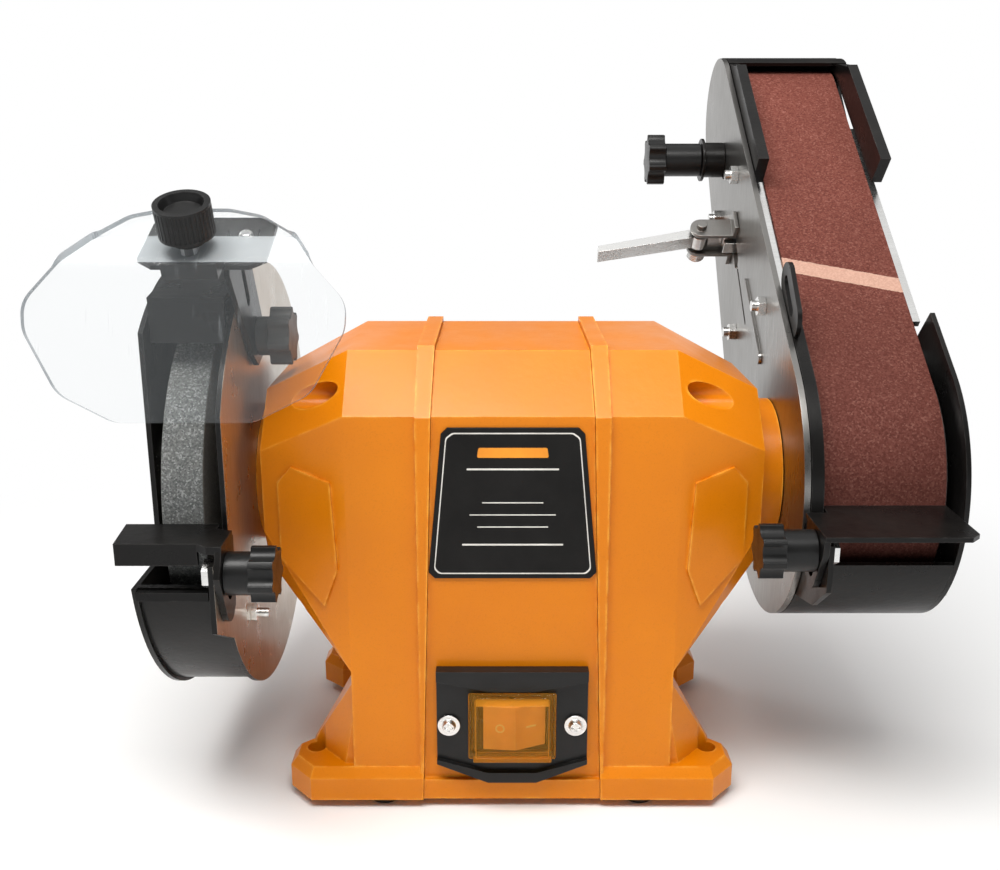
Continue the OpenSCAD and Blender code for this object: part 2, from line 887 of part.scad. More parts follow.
module arm_plate() color(grey) {
  difference() {
    on_arm() difference() {
      union() {
        yz(plate_x, plate_t) tangent_outline(arm_low_r, arm_top_r, centre_c);
        yz(plate_x - 1.2, 1.3) translate([-14, 72]) rotate(84) bar_slot(46, 3);
      }
      xcyl(100, 130, spigot_r + running);
      for (p = guide_bolts)
        translate([0, p[0], p[1]]) xcyl(100, 130, 2.6);
      yz(100, 30) translate([0, lever_z - slot_travel / 2]) rotate(90) bar_slot(21, 4.2);
      yz(100, 30) translate([0, 98]) rotate(90) bar_slot(34, 1.1);
      yz(100, 30) translate([0, track_z - slot_travel / 2]) rotate(90) bar_slot(slot_travel + 0.6, 4.4);
    }
    on_run() for (z = run_bolts)
      translate([0, run_bolt_y, z]) xcyl(100, 130, 2.6);
  }
}

module arm_bolts() color(steel) {
  // platen bolts
  on_run() for (z = run_bolts)
    translate([0, run_bolt_y, z]) {
      xcyl(107, 120.6, 2.4);
      hex_x(plate_x - 3.6, plate_x - 0.1, 4.4);
      hex_x(118.6, 120.9, 4.4);
    }
  // guides beside the carriage
  on_arm() for (p = guide_bolts)
    translate([0, p[0], p[1]]) {
      xcyl(107, 118.4, 2.4);
      hex_x(plate_x - 3.6, plate_x - 0.1, 4.4);
      hex_x(115.8, 118.3, 4.4);
    }
  // outer cover of the drum guard
  at_shaft() for (a = standoffs)
    translate([0, -standoff_r * cos(a), -standoff_r * sin(a)]) {
      xcyl(cover_x - 10, cover_x + sheet + e, 1.6);
      xcyl(cover_x + sheet, cover_x + sheet + 1.8, 3.2);
    }
  // nut of the right rest's knob
  at_shaft() translate([0, right_rest_y, right_rest_z]) difference() {
    hex_x(118.1, 121.6, 5.6);
    xcyl(100, 130, 3);
  }
}

module clamp_ring() color(steel) at_shaft() {
  difference() {
    xcyl(118.05, 120, 30);
    xcyl(110, 130, mid_r + 1);
    for (i = [0:2])
      rotate([i * 120, 0, 0]) translate([0, 0, 17]) xcyl(110, 130, 2.1);
  }
  ring_x(115.95, 118.06, 30, spigot_r + 0.1);
}

module clamp_screws() color(steel) at_shaft() {
  for (i = [0:2])
    rotate([i * 120, 0, 0]) translate([0, 0, 17]) {
      xcyl(collar_x - 7, 120.05, 2);
      xcyl(120.02, 120.6, 3.6);
    }
}

module arm_window(z0) {
  translate([-200, -200]) square([400, 200 + z0]);
}

guard_end = 44;
standoffs = [40, 90, 140];
standoff_r = 58.4;
lip_angle = 20;

module drum_guard() color(black) {
  depth = cover_x - guard_x - 0.1;
  difference() {
    union() {
      on_arm() yz(guard_x, depth) intersection() {
        tangent_outline(arm_low_r, arm_top_r, centre_c);
        arm_window(guard_end);
      }
      // ear that carries the right tool rest
      at_shaft() yz(guard_x, sheet)
        polygon([[-50, -38], [-74, -32], [-90, -20], [-90, -1.6], [-72, -1.6], [-50, -8]]);
      // slotted tab beside the platen
      on_arm() yz(guard_x, sheet) translate([-62, 47]) rotate(90) bar_slot(20, 8);
    }
    on_arm() yz(guard_x - 1, 10) translate([-62, 49]) rotate(90) bar_slot(16, 2.6);
    // hollow for the drum, behind a thick rim round the inner side
    on_arm() yz(guard_x - 1, 10) guard_cap(-9.3);
    on_arm() yz(guard_x + sheet, 100) guard_cap(-lip_depth);
    on_arm() yz(guard_x + lip_w, 100) guard_cap(-sheet);
    // mouth in front of the belt
    on_arm() yz(guard_x + lip_w, 100) rotate(arm_lean)
      polygon([[0, 0], [-300, -300 * tan(lip_angle)], [-300, 300], [300, 300]]);
    at_shaft() translate([0, right_rest_y, right_rest_z]) xcyl(100, 200, 3.1);
  }
  at_shaft() for (a = standoffs)
    translate([0, -standoff_r * cos(a), -standoff_r * sin(a)]) ring_x(guard_x + 1, cover_x - 0.2, 3.4, 1.7);
}

module drum_cover() color(black) {
  difference() {
    on_arm() yz(cover_x, sheet) intersection() {
      tangent_outline(arm_low_r, arm_top_r, centre_c);
      arm_window(guard_end);
    }
    at_shaft() for (a = standoffs)
      translate([0, -standoff_r * cos(a), -standoff_r * sin(a)]) xcyl(150, 200, 1.8);
  }
}

module top_guard() color(black) on_arm() {
  low_z = centre_c - 42;
  lip_z = centre_c - 82;
  width = cover_x + sheet - guard_x;
  intersection() {
    difference() {
      yz(guard_x, width) guard_cap(0);
      yz(guard_x + sheet, width - 2 * sheet) guard_cap(-sheet);
      yz(100, 100) translate([-100, low_z - 60]) square([100 - 15, 60 + 42 + 10]);
      yz(guard_x - 1, 4) guard_cap(-6);
    }
    yz(100, 100) translate([-60, low_z]) square([120, 100]);
  }
  // bar across the front edge
  translate([guard_x, -18, centre_c + 20.6]) cube([width, 3.6, 6.4]);
  // side lips that stand beside the belt and in front of it
  for (x = [guard_x, cover_x + sheet - lip_w])
    intersection() {
      yz(x, lip_w) difference() {
        guard_cap(9);
        guard_cap(-lip_depth);
      }
      yz(100, 100)
        polygon([
          [-70, lip_z],
          [-14, lip_z],
          [-14, centre_c + 27],
          [-16, centre_c + 27],
          [-40, centre_c - 5],
          [-70, centre_c - 5]
        ]);
    }
}

module guard_cap(grow) {
  tangent_outline(arm_low_r + grow, arm_top_r + grow, centre_c);
}

platen_low = 40;
platen_len = 136;

module platen() color(steel) on_run() {
  translate([118.4, -drum_r, platen_low]) cube([57.4, 3, platen_len]);
  difference() {
    translate([115.9, -drum_r, platen_low]) cube([2.6, 17, platen_len]);
    for (z = run_bolts)
      translate([0, run_bolt_y, z]) xcyl(100, 130, 2.6);
  }
}

module sanding_belt() color(abrasive) on_arm() {
  difference() {
    yz(belt_x, belt_w) tangent_outline(drum_r + gap + belt_t, idler_r + gap + belt_t, centre_c);
    yz(belt_x - 1, belt_w + 2) tangent_outline(drum_r + gap, idler_r + gap, centre_c);
  }
}

module belt_drum() color(steel) at_shaft() {
  difference() {
    union() {
      xcyl(belt_x - 1, belt_end + 1, drum_r);
      xcyl(119.02, belt_x + 7, 9);
    }
    ring_x(belt_x - 2, belt_x + 6, 44, 9);
    xcyl(belt_x + 18, belt_end + 2, 46);
    xcyl(0, 300, end_r);
  }
}

// ---------------------------------------------------------------- idler and tracking

axle_r = 4;
idler_bearing_r = 11;

module idler_carriage() color(steel) on_arm() {
  difference() {
    union() {
      yz(116, 2.6) translate([-10, 122]) square([24, centre_c - 122 + 14]);
      for (s = [-1, 1])
        translate([107.4, -3.5, lever_z + s * 5.1 - 1.7]) cube([9.1, 7, 3.4]);
    }
    // notch beside the guide bolt
    yz(100, 40) translate([8, 148]) square([8, 30]);
    translate([0, 0, centre_c]) xcyl(100, 200, 9.1);
  }
}

module idler_axle() color(steel) on_arm() translate([0, 0, centre_c]) {
  xcyl(116.2, 120.2, 9);
  xcyl(116.2, belt_end + 2.6, axle_r);
}

module idler_bearings() color(steel) on_arm() translate([0, 0, centre_c]) {
  for (x = [belt_x + 1, belt_end - 8])
    ring_x(x, x + 7, idler_bearing_r, axle_r + running);
}

module idler_roller() color(steel) on_arm() translate([0, 0, centre_c]) {
  difference() {
    xcyl(belt_x - 1, belt_end + 1, idler_r);
    xcyl(belt_x - 2, belt_x + 8, idler_bearing_r);
    xcyl(belt_end - 8, belt_end + 2, idler_bearing_r);
    xcyl(100, 200, axle_r + 2);
  }
}

module tracking_knob() color(black) on_arm() translate([0, 0, track_z]) {
  lobed_head(73, 82, 13, 7);
  xcyl(81, 101, 8.5);
  xcyl(100, 115.8, 3.6);
}

module tracking_washers() color(steel) on_arm() translate([0, 0, track_z]) {
  ring_x(101.3, 102.8, 11, 3.65);
  ring_x(103.1, plate_x - 0.2, 9, 3.65);
}

lever_x = 96;

module tension_lever() color(steel) on_arm() translate([lever_x, 0, lever_z]) rotate([90, 0, 0]) {
  difference() {
    translate([0, 0, -4]) linear_extrude(8) {
      polygon([[0, -2.4], [lever_arm, -1.8], [lever_arm, 1.8], [0, 3.4], [-52, -8.5], [-52, -12.5]]);
      circle(4.6);
    }
    cylinder(h = 40, r = 2.55, center = true);
  }
  translate([lever_arm, 0, -3.4]) cylinder(h = 6.8, r = 2.9);
}

module lever_pivot() color(steel) on_arm() {
  translate([lever_x, 0, lever_z]) rotate([90, 0, 0]) cylinder(h = 22, r = 2.5, center = true);
  for (s = [-1, 1])
    difference() {
      union() {
        translate([lever_x, s * 7 + 1, lever_z]) rotate([90, 0, 0]) cylinder(h = 2, r = 5.5);
        translate([lever_x, s * 7 - 1, lever_z - 5.5]) cube([plate_x - lever_x - 0.1, 2, 11]);
        translate([plate_x - 2.1, s > 0 ? 6 : -14, lever_z - 5.5]) cube([2, 8, 11]);
      }
      translate([lever_x, 0, lever_z]) rotate([90, 0, 0]) cylinder(h = 40, r = 2.4, center = true);
    }
}

module lever_spring() color(steel) on_arm() {
  for (i = [0:3])
    translate([lever_x, 9.4 + i * 1.2, lever_z]) rotate([90, 0, 0])
      rotate_extrude() translate([4, 0]) circle(r = 0.65);
}

// ---------------------------------------------------------------- assembly

centre_shell();
left_casting();
right_casting();
housing_bolts();
bottom_cover();
base_screws();
rubber_feet();
nameplate();
switch_bezel();
switch_screws();
switch_body();
switch_cover();
rocker();
capacitor();
cord_gland();
stator_core();
windings();
outer_rings();
inner_rings();
bearing_balls();
shaft();
rotor();
grinding_wheel();
wheel_blotters();
wheel_flanges();
spindle_nuts();
left_guard();
guard_screws();
left_cover();
spark_arrestor();
shield_bracket();
bracket_rivets();
bracket_knob();
shield_clamp();
shield_knob();
eye_shield();
left_rest();
left_rest_knob();
clamp_ring();
clamp_screws();
arm_plate();
arm_bolts();
drum_guard();
drum_cover();
top_guard();
platen();
sanding_belt();
belt_drum();
idler_carriage();
idler_axle();
idler_bearings();
idler_roller();
tracking_knob();
tracking_washers();
tension_lever();
lever_pivot();
lever_spring();
right_rest();
right_rest_knob();
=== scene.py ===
# Bench grinder with a grinding wheel and a narrow belt sander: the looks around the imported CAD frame.
import json
import math

import bmesh
import bpy
from mathutils import Matrix, Vector


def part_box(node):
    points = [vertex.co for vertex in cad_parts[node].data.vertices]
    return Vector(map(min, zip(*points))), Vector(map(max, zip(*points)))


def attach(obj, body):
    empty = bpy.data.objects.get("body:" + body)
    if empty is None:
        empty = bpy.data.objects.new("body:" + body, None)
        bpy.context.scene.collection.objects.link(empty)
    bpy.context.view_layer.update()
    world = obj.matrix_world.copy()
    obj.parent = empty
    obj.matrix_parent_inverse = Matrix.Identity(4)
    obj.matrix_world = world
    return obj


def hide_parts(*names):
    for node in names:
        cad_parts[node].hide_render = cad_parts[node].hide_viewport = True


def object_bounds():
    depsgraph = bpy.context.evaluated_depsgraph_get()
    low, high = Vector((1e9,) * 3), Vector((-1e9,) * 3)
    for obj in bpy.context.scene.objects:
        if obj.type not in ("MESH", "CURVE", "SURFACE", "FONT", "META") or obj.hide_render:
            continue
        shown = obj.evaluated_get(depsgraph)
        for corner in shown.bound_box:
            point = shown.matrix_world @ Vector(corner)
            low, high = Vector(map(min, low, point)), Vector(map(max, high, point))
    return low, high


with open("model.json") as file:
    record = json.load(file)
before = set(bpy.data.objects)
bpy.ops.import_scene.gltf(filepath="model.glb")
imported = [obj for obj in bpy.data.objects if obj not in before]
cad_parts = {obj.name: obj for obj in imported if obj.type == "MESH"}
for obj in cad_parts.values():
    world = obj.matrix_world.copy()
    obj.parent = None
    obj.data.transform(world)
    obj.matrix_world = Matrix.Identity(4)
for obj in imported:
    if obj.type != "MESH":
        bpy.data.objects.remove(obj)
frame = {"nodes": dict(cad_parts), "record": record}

CAD_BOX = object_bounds()
NODES = frame["nodes"]
MM = 0.001


# ------------------------------------------------------------------ material helpers

class Mat:
    """A small builder for one node material."""

    def __init__(self, name):
        self.m = bpy.data.materials.new(name)
        self.m.use_nodes = True
        self.t = self.m.node_tree
        self.b = self.t.nodes["Principled BSDF"]
        self.co = self.t.nodes.new("ShaderNodeTexCoord").outputs["Object"]

    def node(self, kind, **props):
        n = self.t.nodes.new(kind)
        for k, v in props.items():
            setattr(n, k, v)
        return n

    def link(self, a, b):
        self.t.links.new(a, b)

    def set(self, **values):
        for k, v in values.items():
            self.b.inputs[k.replace("_", " ")].default_value = v

    def mapped(self, scale=(1, 1, 1), rotation=(0, 0, 0), location=(0, 0, 0)):
        n = self.node("ShaderNodeMapping")
        n.inputs["Scale"].default_value = scale
        n.inputs["Rotation"].default_value = rotation
        n.inputs["Location"].default_value = location
        self.link(self.co, n.inputs["Vector"])
        return n.outputs["Vector"]

    def noise(self, scale, detail, rough, vec=None):
        n = self.node("ShaderNodeTexNoise")
        n.inputs["Scale"].default_value = scale
        n.inputs["Detail"].default_value = detail
        n.inputs["Roughness"].default_value = rough
        self.link(vec or self.co, n.inputs["Vector"])
        return n.outputs["Fac"]

    def voronoi(self, scale, out="Distance"):
        n = self.node("ShaderNodeTexVoronoi")
        n.inputs["Scale"].default_value = scale
        self.link(self.co, n.inputs["Vector"])
        return n.outputs[out]

    def ramp(self, fac, stops):
        """Colours or grey levels at their places along fac, with straight blends between them."""
        n = self.node("ShaderNodeValToRGB")
        el = n.color_ramp.elements
        while len(el) < len(stops):
            el.new(0.5)
        for e, (p, c) in zip(el, stops):
            e.position = p
            e.color = (c, c, c, 1) if isinstance(c, (int, float)) else (*c, 1)
        self.link(fac, n.inputs["Fac"])
        return n.outputs["Color"]

    def mix(self, fac, a, b, blend="MIX"):
        n = self.node("ShaderNodeMix", data_type="RGBA", blend_type=blend)
        for sock, v in ((0, fac), (6, a), (7, b)):
            s = n.inputs[sock]
            if isinstance(v, bpy.types.NodeSocket):
                self.link(v, s)
            elif isinstance(v, (int, float)):
                s.default_value = v
            else:
                s.default_value = (*v, 1)
        return n.outputs[2]

    def math(self, op, a, b=0.0, c=None, clamp=False):
        n = self.node("ShaderNodeMath", operation=op, use_clamp=clamp)
        for i, v in enumerate((a, b, c)):
            if v is None:
                continue
            if isinstance(v, bpy.types.NodeSocket):
                self.link(v, n.inputs[i])
            else:
                n.inputs[i].default_value = v
        return n.outputs[0]

    def edges(self, radius, low, high):
        """Mask of the outer edges and corners, for wear, and on the orange paint also for a painted
        highlight.
        """
        bev = self.node("ShaderNodeBevel", samples=4)
        bev.inputs["Radius"].default_value = radius
        geo = self.node("ShaderNodeNewGeometry")
        dot = self.node("ShaderNodeVectorMath", operation="DOT_PRODUCT")
        self.link(bev.outputs["Normal"], dot.inputs[0])
        self.link(geo.outputs["Normal"], dot.inputs[1])
        off = self.math("SUBTRACT", 1.0, dot.outputs["Value"])
        return self.ramp(off, [(low, 0.0), (high, 1.0)])

    def bump(self, height, strength, distance, normal=None):
        n = self.node("ShaderNodeBump")
        n.inputs["Strength"].default_value = strength
        n.inputs["Distance"].default_value = distance
        self.link(height, n.inputs["Height"])
        if normal is not None:
            self.link(normal, n.inputs["Normal"])
        return n.outputs["Normal"]

    def color(self, sock):
        self.link(sock, self.b.inputs["Base Color"])

    def rough(self, sock):
        self.link(sock, self.b.inputs["Roughness"])

    def normal(self, sock):
        self.link(sock, self.b.inputs["Normal"])

    def xyz(self):
        n = self.node("ShaderNodeSeparateXYZ")
        self.link(self.co, n.inputs["Vector"])
        return n.outputs


def coated(name, tint, shade, rough, *, grain=1400, grain_depth=0.00006, peel=260, coat=0.25,
           edge_tone=None, wear_and_highlight_radius=0.0012, wear_and_highlight_amount=0.5, dust=0.0, shine=0.5, painted_reflection_beyond=None):
    """Painted or powder coated metal: orange peel, fine grain, lighter worn edges and a little dust; on the
    orange paint the lighter edges are also a painted highlight.

    Faces beyond the given X get a warm metallic tone in place of the paint: a painted reflection on that
    black face.
    """
    m = Mat(name)
    cloud = m.noise(14, 5, 0.6)
    col = m.mix(m.ramp(cloud, [(0.34, 0.0), (0.68, 1.0)]), shade, tint)
    speck = m.noise(grain * 1.7, 2, 0.5)
    col = m.mix(m.ramp(speck, [(0.30, 0.22), (0.45, 0.0)]), col, tuple(c * 0.72 for c in shade))
    if dust:
        up = m.node("ShaderNodeNewGeometry")
        split = m.node("ShaderNodeSeparateXYZ")
        m.link(up.outputs["Normal"], split.inputs["Vector"])
        lay = m.math("MULTIPLY", m.ramp(split.outputs["Z"], [(0.2, 0.0), (1.0, 1.0)]),
                     m.ramp(m.noise(45, 6, 0.7), [(0.42, 0.0), (0.72, dust)]))
        col = m.mix(lay, col, (0.42, 0.37, 0.32))
    # lighter edges: wear, and with the orange's bright edge colour also a painted highlight
    if edge_tone:
        edge_mask = m.math("MULTIPLY", m.edges(wear_and_highlight_radius, 0.01, 0.14),
                     m.ramp(m.noise(120, 5, 0.65), [(0.40, 0.0), (0.62, wear_and_highlight_amount)]))
        col = m.mix(edge_mask, col, edge_tone)
    # painted reflection: the inner face gets a warm metallic tone in place of the black paint
    if painted_reflection_beyond is not None:
        painted_reflection_mask = m.math("GREATER_THAN", m.xyz()["X"], painted_reflection_beyond)
        reflection_streaks = m.ramp(m.noise(1400, 3, 0.6, m.mapped((1, 1, 0.05))), [(0.35, 0.0), (0.65, 1.0)])
        painted_reflection_tone = m.mix(reflection_streaks, (0.47, 0.41, 0.34), (0.56, 0.50, 0.43))
        col = m.mix(painted_reflection_mask, col, painted_reflection_tone)
        m.link(m.math("MULTIPLY", painted_reflection_mask, 0.9), m.b.inputs["Metallic"])
    m.color(col)
    m.rough(m.ramp(m.noise(55, 6, 0.6), [(0.3, rough[0]), (0.7, rough[1])]))
    fine = m.bump(m.noise(grain, 3, 0.6), 0.5, grain_depth)
    m.normal(m.bump(m.noise(peel, 2, 0.4), 0.22, 0.00025, fine))
    m.set(Coat_Weight=coat, Coat_Roughness=0.12, Specular_IOR_Level=shine)
    return m.m


def metal(name, tone, rough, *, brush, stain_amount=0.35, patch=40):
    """Bright or plated metal with brush marks, cloudy patches and worn, brighter edges."""
    m = Mat(name)
    cloud = m.noise(patch, 6, 0.62)
    stained = tuple(t * s for t, s in zip(tone, (0.5, 0.47, 0.43)))
    col = m.mix(m.ramp(cloud, [(0.42, stain_amount), (0.66, 0.0)]), tone, stained)
    fine = m.noise(900, 3, 0.6, m.mapped(brush))
    col = m.mix(m.ramp(fine, [(0.3, 0.18), (0.6, 0.0)]), col, tuple(t * 0.6 for t in tone))
    rubbed = tuple(min(1.0, t * 1.25) for t in tone)
    col = m.mix(m.math("MULTIPLY", m.edges(0.0006, 0.02, 0.2), 0.6), col, rubbed)
    m.color(col)
    m.rough(m.math("ADD", m.ramp(cloud, [(0.3, rough[1]), (0.7, rough[0])]),
                   m.ramp(fine, [(0.35, 0.06), (0.65, 0.0)])))
    m.normal(m.bump(fine, 0.5, 0.00004))
    m.set(Metallic=1.0)
    return m.m


def moulded(name, tint, rough, *, grain=1900, depth=0.00005, edge_tone=(0.12, 0.12, 0.12), coat=0.0,
            shine=0.25):
    """Moulded plastic with a fine spark-eroded grain and rubbed edges."""
    m = Mat(name)
    faded = tuple(c * 1.7 + 0.004 for c in tint)
    col = m.mix(m.ramp(m.noise(60, 5, 0.6), [(0.35, 0.0), (0.7, 0.5)]), tint, faded)
    edge_mask = m.math("MULTIPLY", m.edges(0.0007, 0.03, 0.25),
                 m.ramp(m.noise(260, 4, 0.6), [(0.42, 0.0), (0.62, 0.6)]))
    m.color(m.mix(edge_mask, col, edge_tone))
    m.rough(m.ramp(m.noise(130, 5, 0.6), [(0.3, rough[0]), (0.7, rough[1])]))
    m.normal(m.bump(m.voronoi(grain), 0.35, depth))
    m.set(Coat_Weight=coat, Coat_Roughness=0.1, Specular_IOR_Level=shine)
    return m.m


def see_through(name, tint, body, rim, shade=(0.8, 0.85, 0.88)):
    """Thin clear sheet: light passes straight on, gloss grows towards grazing angles."""
    m = Mat(name)
    m.set(Base_Color=(*shade, 1), IOR=1.5)
    m.rough(m.ramp(m.noise(90, 6, 0.7), [(0.45, 0.04), (0.75, 0.12)]))
    m.normal(m.bump(m.noise(30, 2, 0.4), 0.06, 0.0004))
    clear = m.node("ShaderNodeBsdfTransparent")
    clear.inputs["Color"].default_value = (*tint, 1)
    weight = m.node("ShaderNodeLayerWeight")
    weight.inputs["Blend"].default_value = 0.32
    scuff = m.ramp(m.noise(700, 3, 0.6, m.mapped((1, 0.06, 0.06))), [(0.66, 0.0), (0.74, 0.10)])
    fac = m.math("ADD", m.ramp(weight.outputs["Fresnel"], [(0.0, body), (1.0, rim)]), scuff, clamp=True)
    both = m.node("ShaderNodeMixShader")
    m.link(fac, both.inputs[0])
    m.link(clear.outputs[0], both.inputs[1])
    m.link(m.b.outputs[0], both.inputs[2])
    m.link(both.outputs[0], m.t.nodes["Material Output"].inputs["Surface"])
    return m.m


def grinding_stone():
    """Bonded grey grit with pale grains; the rim is rough and the flanks are smoother and dusty."""
    m = Mat("grinding_stone")
    cells = m.voronoi(1700, out="Color")
    one = m.node("ShaderNodeSeparateColor")
    m.link(cells, one.inputs[0])
    col = m.ramp(one.outputs[0], [(0.0, (0.10, 0.105, 0.103)), (0.35, (0.155, 0.162, 0.158)),
                                  (0.75, (0.23, 0.238, 0.232)), (1.0, (0.42, 0.43, 0.42))])
    col = m.mix(m.ramp(m.noise(70, 5, 0.6), [(0.4, 0.0), (0.7, 0.35)]), col, (0.19, 0.185, 0.172))
    # the flanks are moulded smooth and keep some dust of the bond
    geo = m.node("ShaderNodeNewGeometry")
    split = m.node("ShaderNodeSeparateXYZ")
    m.link(geo.outputs["Normal"], split.inputs["Vector"])
    flank = m.ramp(m.math("ABSOLUTE", split.outputs["X"]), [(0.7, 0.0), (0.9, 0.62)])
    m.color(m.mix(flank, col, (0.36, 0.31, 0.26)))
    m.set(Roughness=0.86)
    pits = m.bump(m.noise(1500, 4, 0.7), 0.8, 0.00035)
    m.normal(m.bump(one.outputs[1], 0.75, 0.0006, pits))
    return m.m


def abrasive_cloth(rise, axis_z, joint, slant):
    """Red-brown grit with a pale joint: from and to up the arm, in metres, and its rise across."""
    m = Mat("abrasive_cloth")
    cells = m.voronoi(1500, out="Color")
    one = m.node("ShaderNodeSeparateColor")
    m.link(cells, one.inputs[0])
    col = m.ramp(one.outputs[0], [(0.0, (0.150, 0.038, 0.027)), (0.5, (0.215, 0.062, 0.045)),
                                  (0.85, (0.255, 0.083, 0.062)), (1.0, (0.33, 0.130, 0.100))])
    col = m.mix(m.ramp(m.noise(24, 5, 0.6), [(0.38, 0.22), (0.62, 0.0)]), col, (0.12, 0.033, 0.023))
    arm = m.mapped(rotation=(rise, 0, 0),
                   location=(0, math.sin(rise) * axis_z, -math.cos(rise) * axis_z))
    part = m.node("ShaderNodeSeparateXYZ")
    m.link(arm, part.inputs["Vector"])
    run = m.math("ADD", part.outputs["Z"], m.math("MULTIPLY", part.outputs["X"], slant))
    ragged = m.math("ADD", run, m.math("MULTIPLY", m.noise(400, 4, 0.7), 0.0016))
    inside = m.math("MULTIPLY", m.math("GREATER_THAN", ragged, joint[0]),
                    m.math("LESS_THAN", ragged, joint[1]))
    front = m.math("MULTIPLY", inside, m.math("LESS_THAN", part.outputs["Y"], 0.0))
    pale = m.mix(m.ramp(one.outputs[1], [(0.2, 0.0), (0.9, 0.55)]), (0.56, 0.33, 0.25), (0.70, 0.44, 0.34))
    # painted shade: the cloth is darkened towards the lower end of the arm
    height = m.math("MULTIPLY_ADD", part.outputs["Z"], 4.0, 0.2)
    col = m.mix(1.0, col, m.ramp(height, [(0.0, 0.48), (1.0, 1.0)]), "MULTIPLY")
    m.color(m.mix(m.math("MULTIPLY", front, 0.93), col, pale))
    m.set(Roughness=0.82, Specular_IOR_Level=0.2)
    grit = m.bump(m.noise(1700, 4, 0.7), 0.6, 0.0003)
    m.normal(m.bump(one.outputs[2], 0.8, 0.0006, grit))
    return m.m


def copper_winding():
    """Lacquered copper wire in fine bands."""
    m = Mat("winding_copper")
    wave = m.node("ShaderNodeTexWave", wave_type="BANDS", bands_direction="X")
    wave.inputs["Scale"].default_value = 420
    wave.inputs["Distortion"].default_value = 2.5
    m.link(m.co, wave.inputs["Vector"])
    m.color(m.mix(wave.outputs["Fac"], (0.26, 0.07, 0.025), (0.62, 0.24, 0.10)))
    m.set(Metallic=0.85, Roughness=0.3, Coat_Weight=0.5)
    m.normal(m.bump(wave.outputs["Fac"], 0.8, 0.0004))
    return m.m


def laminated():
    """Stacked iron sheets, seen as fine bands along X."""
    m = Mat("lamination")
    wave = m.node("ShaderNodeTexWave", wave_type="BANDS", bands_direction="X")
    wave.inputs["Scale"].default_value = 640
    m.link(m.co, wave.inputs["Vector"])
    m.color(m.mix(wave.outputs["Fac"], (0.08, 0.08, 0.085), (0.28, 0.28, 0.29)))
    m.set(Metallic=0.9)
    m.rough(m.ramp(m.noise(80, 4, 0.6), [(0.3, 0.35), (0.7, 0.55)]))
    m.normal(m.bump(wave.outputs["Fac"], 0.5, 0.0002))
    return m.m


# ------------------------------------------------------------------ places taken from the frame

def centre(node):
    """Middle of a node's box."""
    lo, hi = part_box(node)
    return (lo + hi) / 2


JOINTS = {joint["name"]: joint for joint in frame["record"]["behaviour"]["joints"]}


def pivot(joint):
    """A joint's place at rest."""
    return Vector(JOINTS[joint]["pos_m"])


SHAFT_Z = centre("belt_drum").z
ARM_LEAN = math.atan2(pivot("idler_spin").y, pivot("idler_spin").z - SHAFT_Z)
STRIP_TILT = math.atan2(-JOINTS["shield_knob_turn"]["axis"][1], JOINTS["shield_knob_turn"]["axis"][2])


# ------------------------------------------------------------------ materials

# the bright edge colour of the orange is partly wear and partly a painted highlight along the edges
ORANGE = coated("orange_paint", (0.72, 0.212, 0.0006), (0.66, 0.184, 0.0005), (0.28, 0.40), grain=900,
                grain_depth=0.00004, peel=330, coat=0.08, edge_tone=(0.98, 0.50, 0.07), wear_and_highlight_radius=0.0018,
                wear_and_highlight_amount=0.7, shine=0.24)
BLACK_PAINT = dict(tint=(0.0075, 0.007, 0.0065), shade=(0.005, 0.0045, 0.0045), rough=(0.24, 0.38),
                   grain=1500, grain_depth=0.00005, peel=420, coat=0.08, edge_tone=(0.10, 0.095, 0.09),
                   wear_and_highlight_radius=0.0007, wear_and_highlight_amount=0.4, dust=0.02, shine=0.16)
BLACK = coated("black_paint", **BLACK_PAINT)
# the left guard's inner face: a warm metallic tone, a painted reflection on the black paint
GUARD = coated("guard_paint", **BLACK_PAINT, painted_reflection_beyond=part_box("left_guard")[1].x - 0.05 * MM)
GREY = metal("grey_paint", (0.27, 0.262, 0.25), (0.24, 0.32), brush=(1, 1, 0.08), stain_amount=0.12, patch=14)
STEEL = metal("bright_steel", (0.80, 0.80, 0.79), (0.14, 0.30), brush=(0.15, 1, 1), stain_amount=0.2)
ALLOY = metal("machined_alloy", (0.62, 0.62, 0.61), (0.2, 0.36), brush=(0.1, 1, 1))
CAN = metal("capacitor_can", (0.72, 0.72, 0.70), (0.25, 0.4), brush=(0.1, 1, 1))
PLASTIC = moulded("black_plastic", (0.007, 0.007, 0.007), (0.28, 0.42), edge_tone=(0.06, 0.06, 0.06), coat=0.05)
GREY_KNOB = moulded("knob_grey", (0.045, 0.043, 0.041), (0.36, 0.5), edge_tone=(0.14, 0.135, 0.13))
RUBBER = moulded("foot_rubber", (0.012, 0.011, 0.010), (0.6, 0.8), grain=700, depth=0.0001)
PLATE = moulded("nameplate_black", (0.006, 0.0055, 0.005), (0.16, 0.26), grain=2600, depth=0.00002, coat=0.02,
               shine=0.14)
INK_PALE = moulded("ink_pale", (0.62, 0.60, 0.56), (0.4, 0.5), grain=2600, depth=0.00002,
                   edge_tone=(0.5, 0.48, 0.45))
INK_WARM = moulded("ink_warm", (0.72, 0.25, 0.02), (0.4, 0.5), grain=2600, depth=0.00002,
                   edge_tone=(0.5, 0.2, 0.05))
AMBER_KEY = moulded("rocker_amber", (0.62, 0.31, 0.17), (0.18, 0.28), grain=2400, depth=0.00002,
                    edge_tone=(0.95, 0.5, 0.2), coat=0.5)
PAPER = moulded("blotter_paper", (0.50, 0.42, 0.27), (0.8, 0.9), grain=900, depth=0.0001,
                edge_tone=(0.4, 0.33, 0.2))
CLEAR = see_through("clear_plastic", (0.975, 0.98, 0.982), body=0.015, rim=0.42)
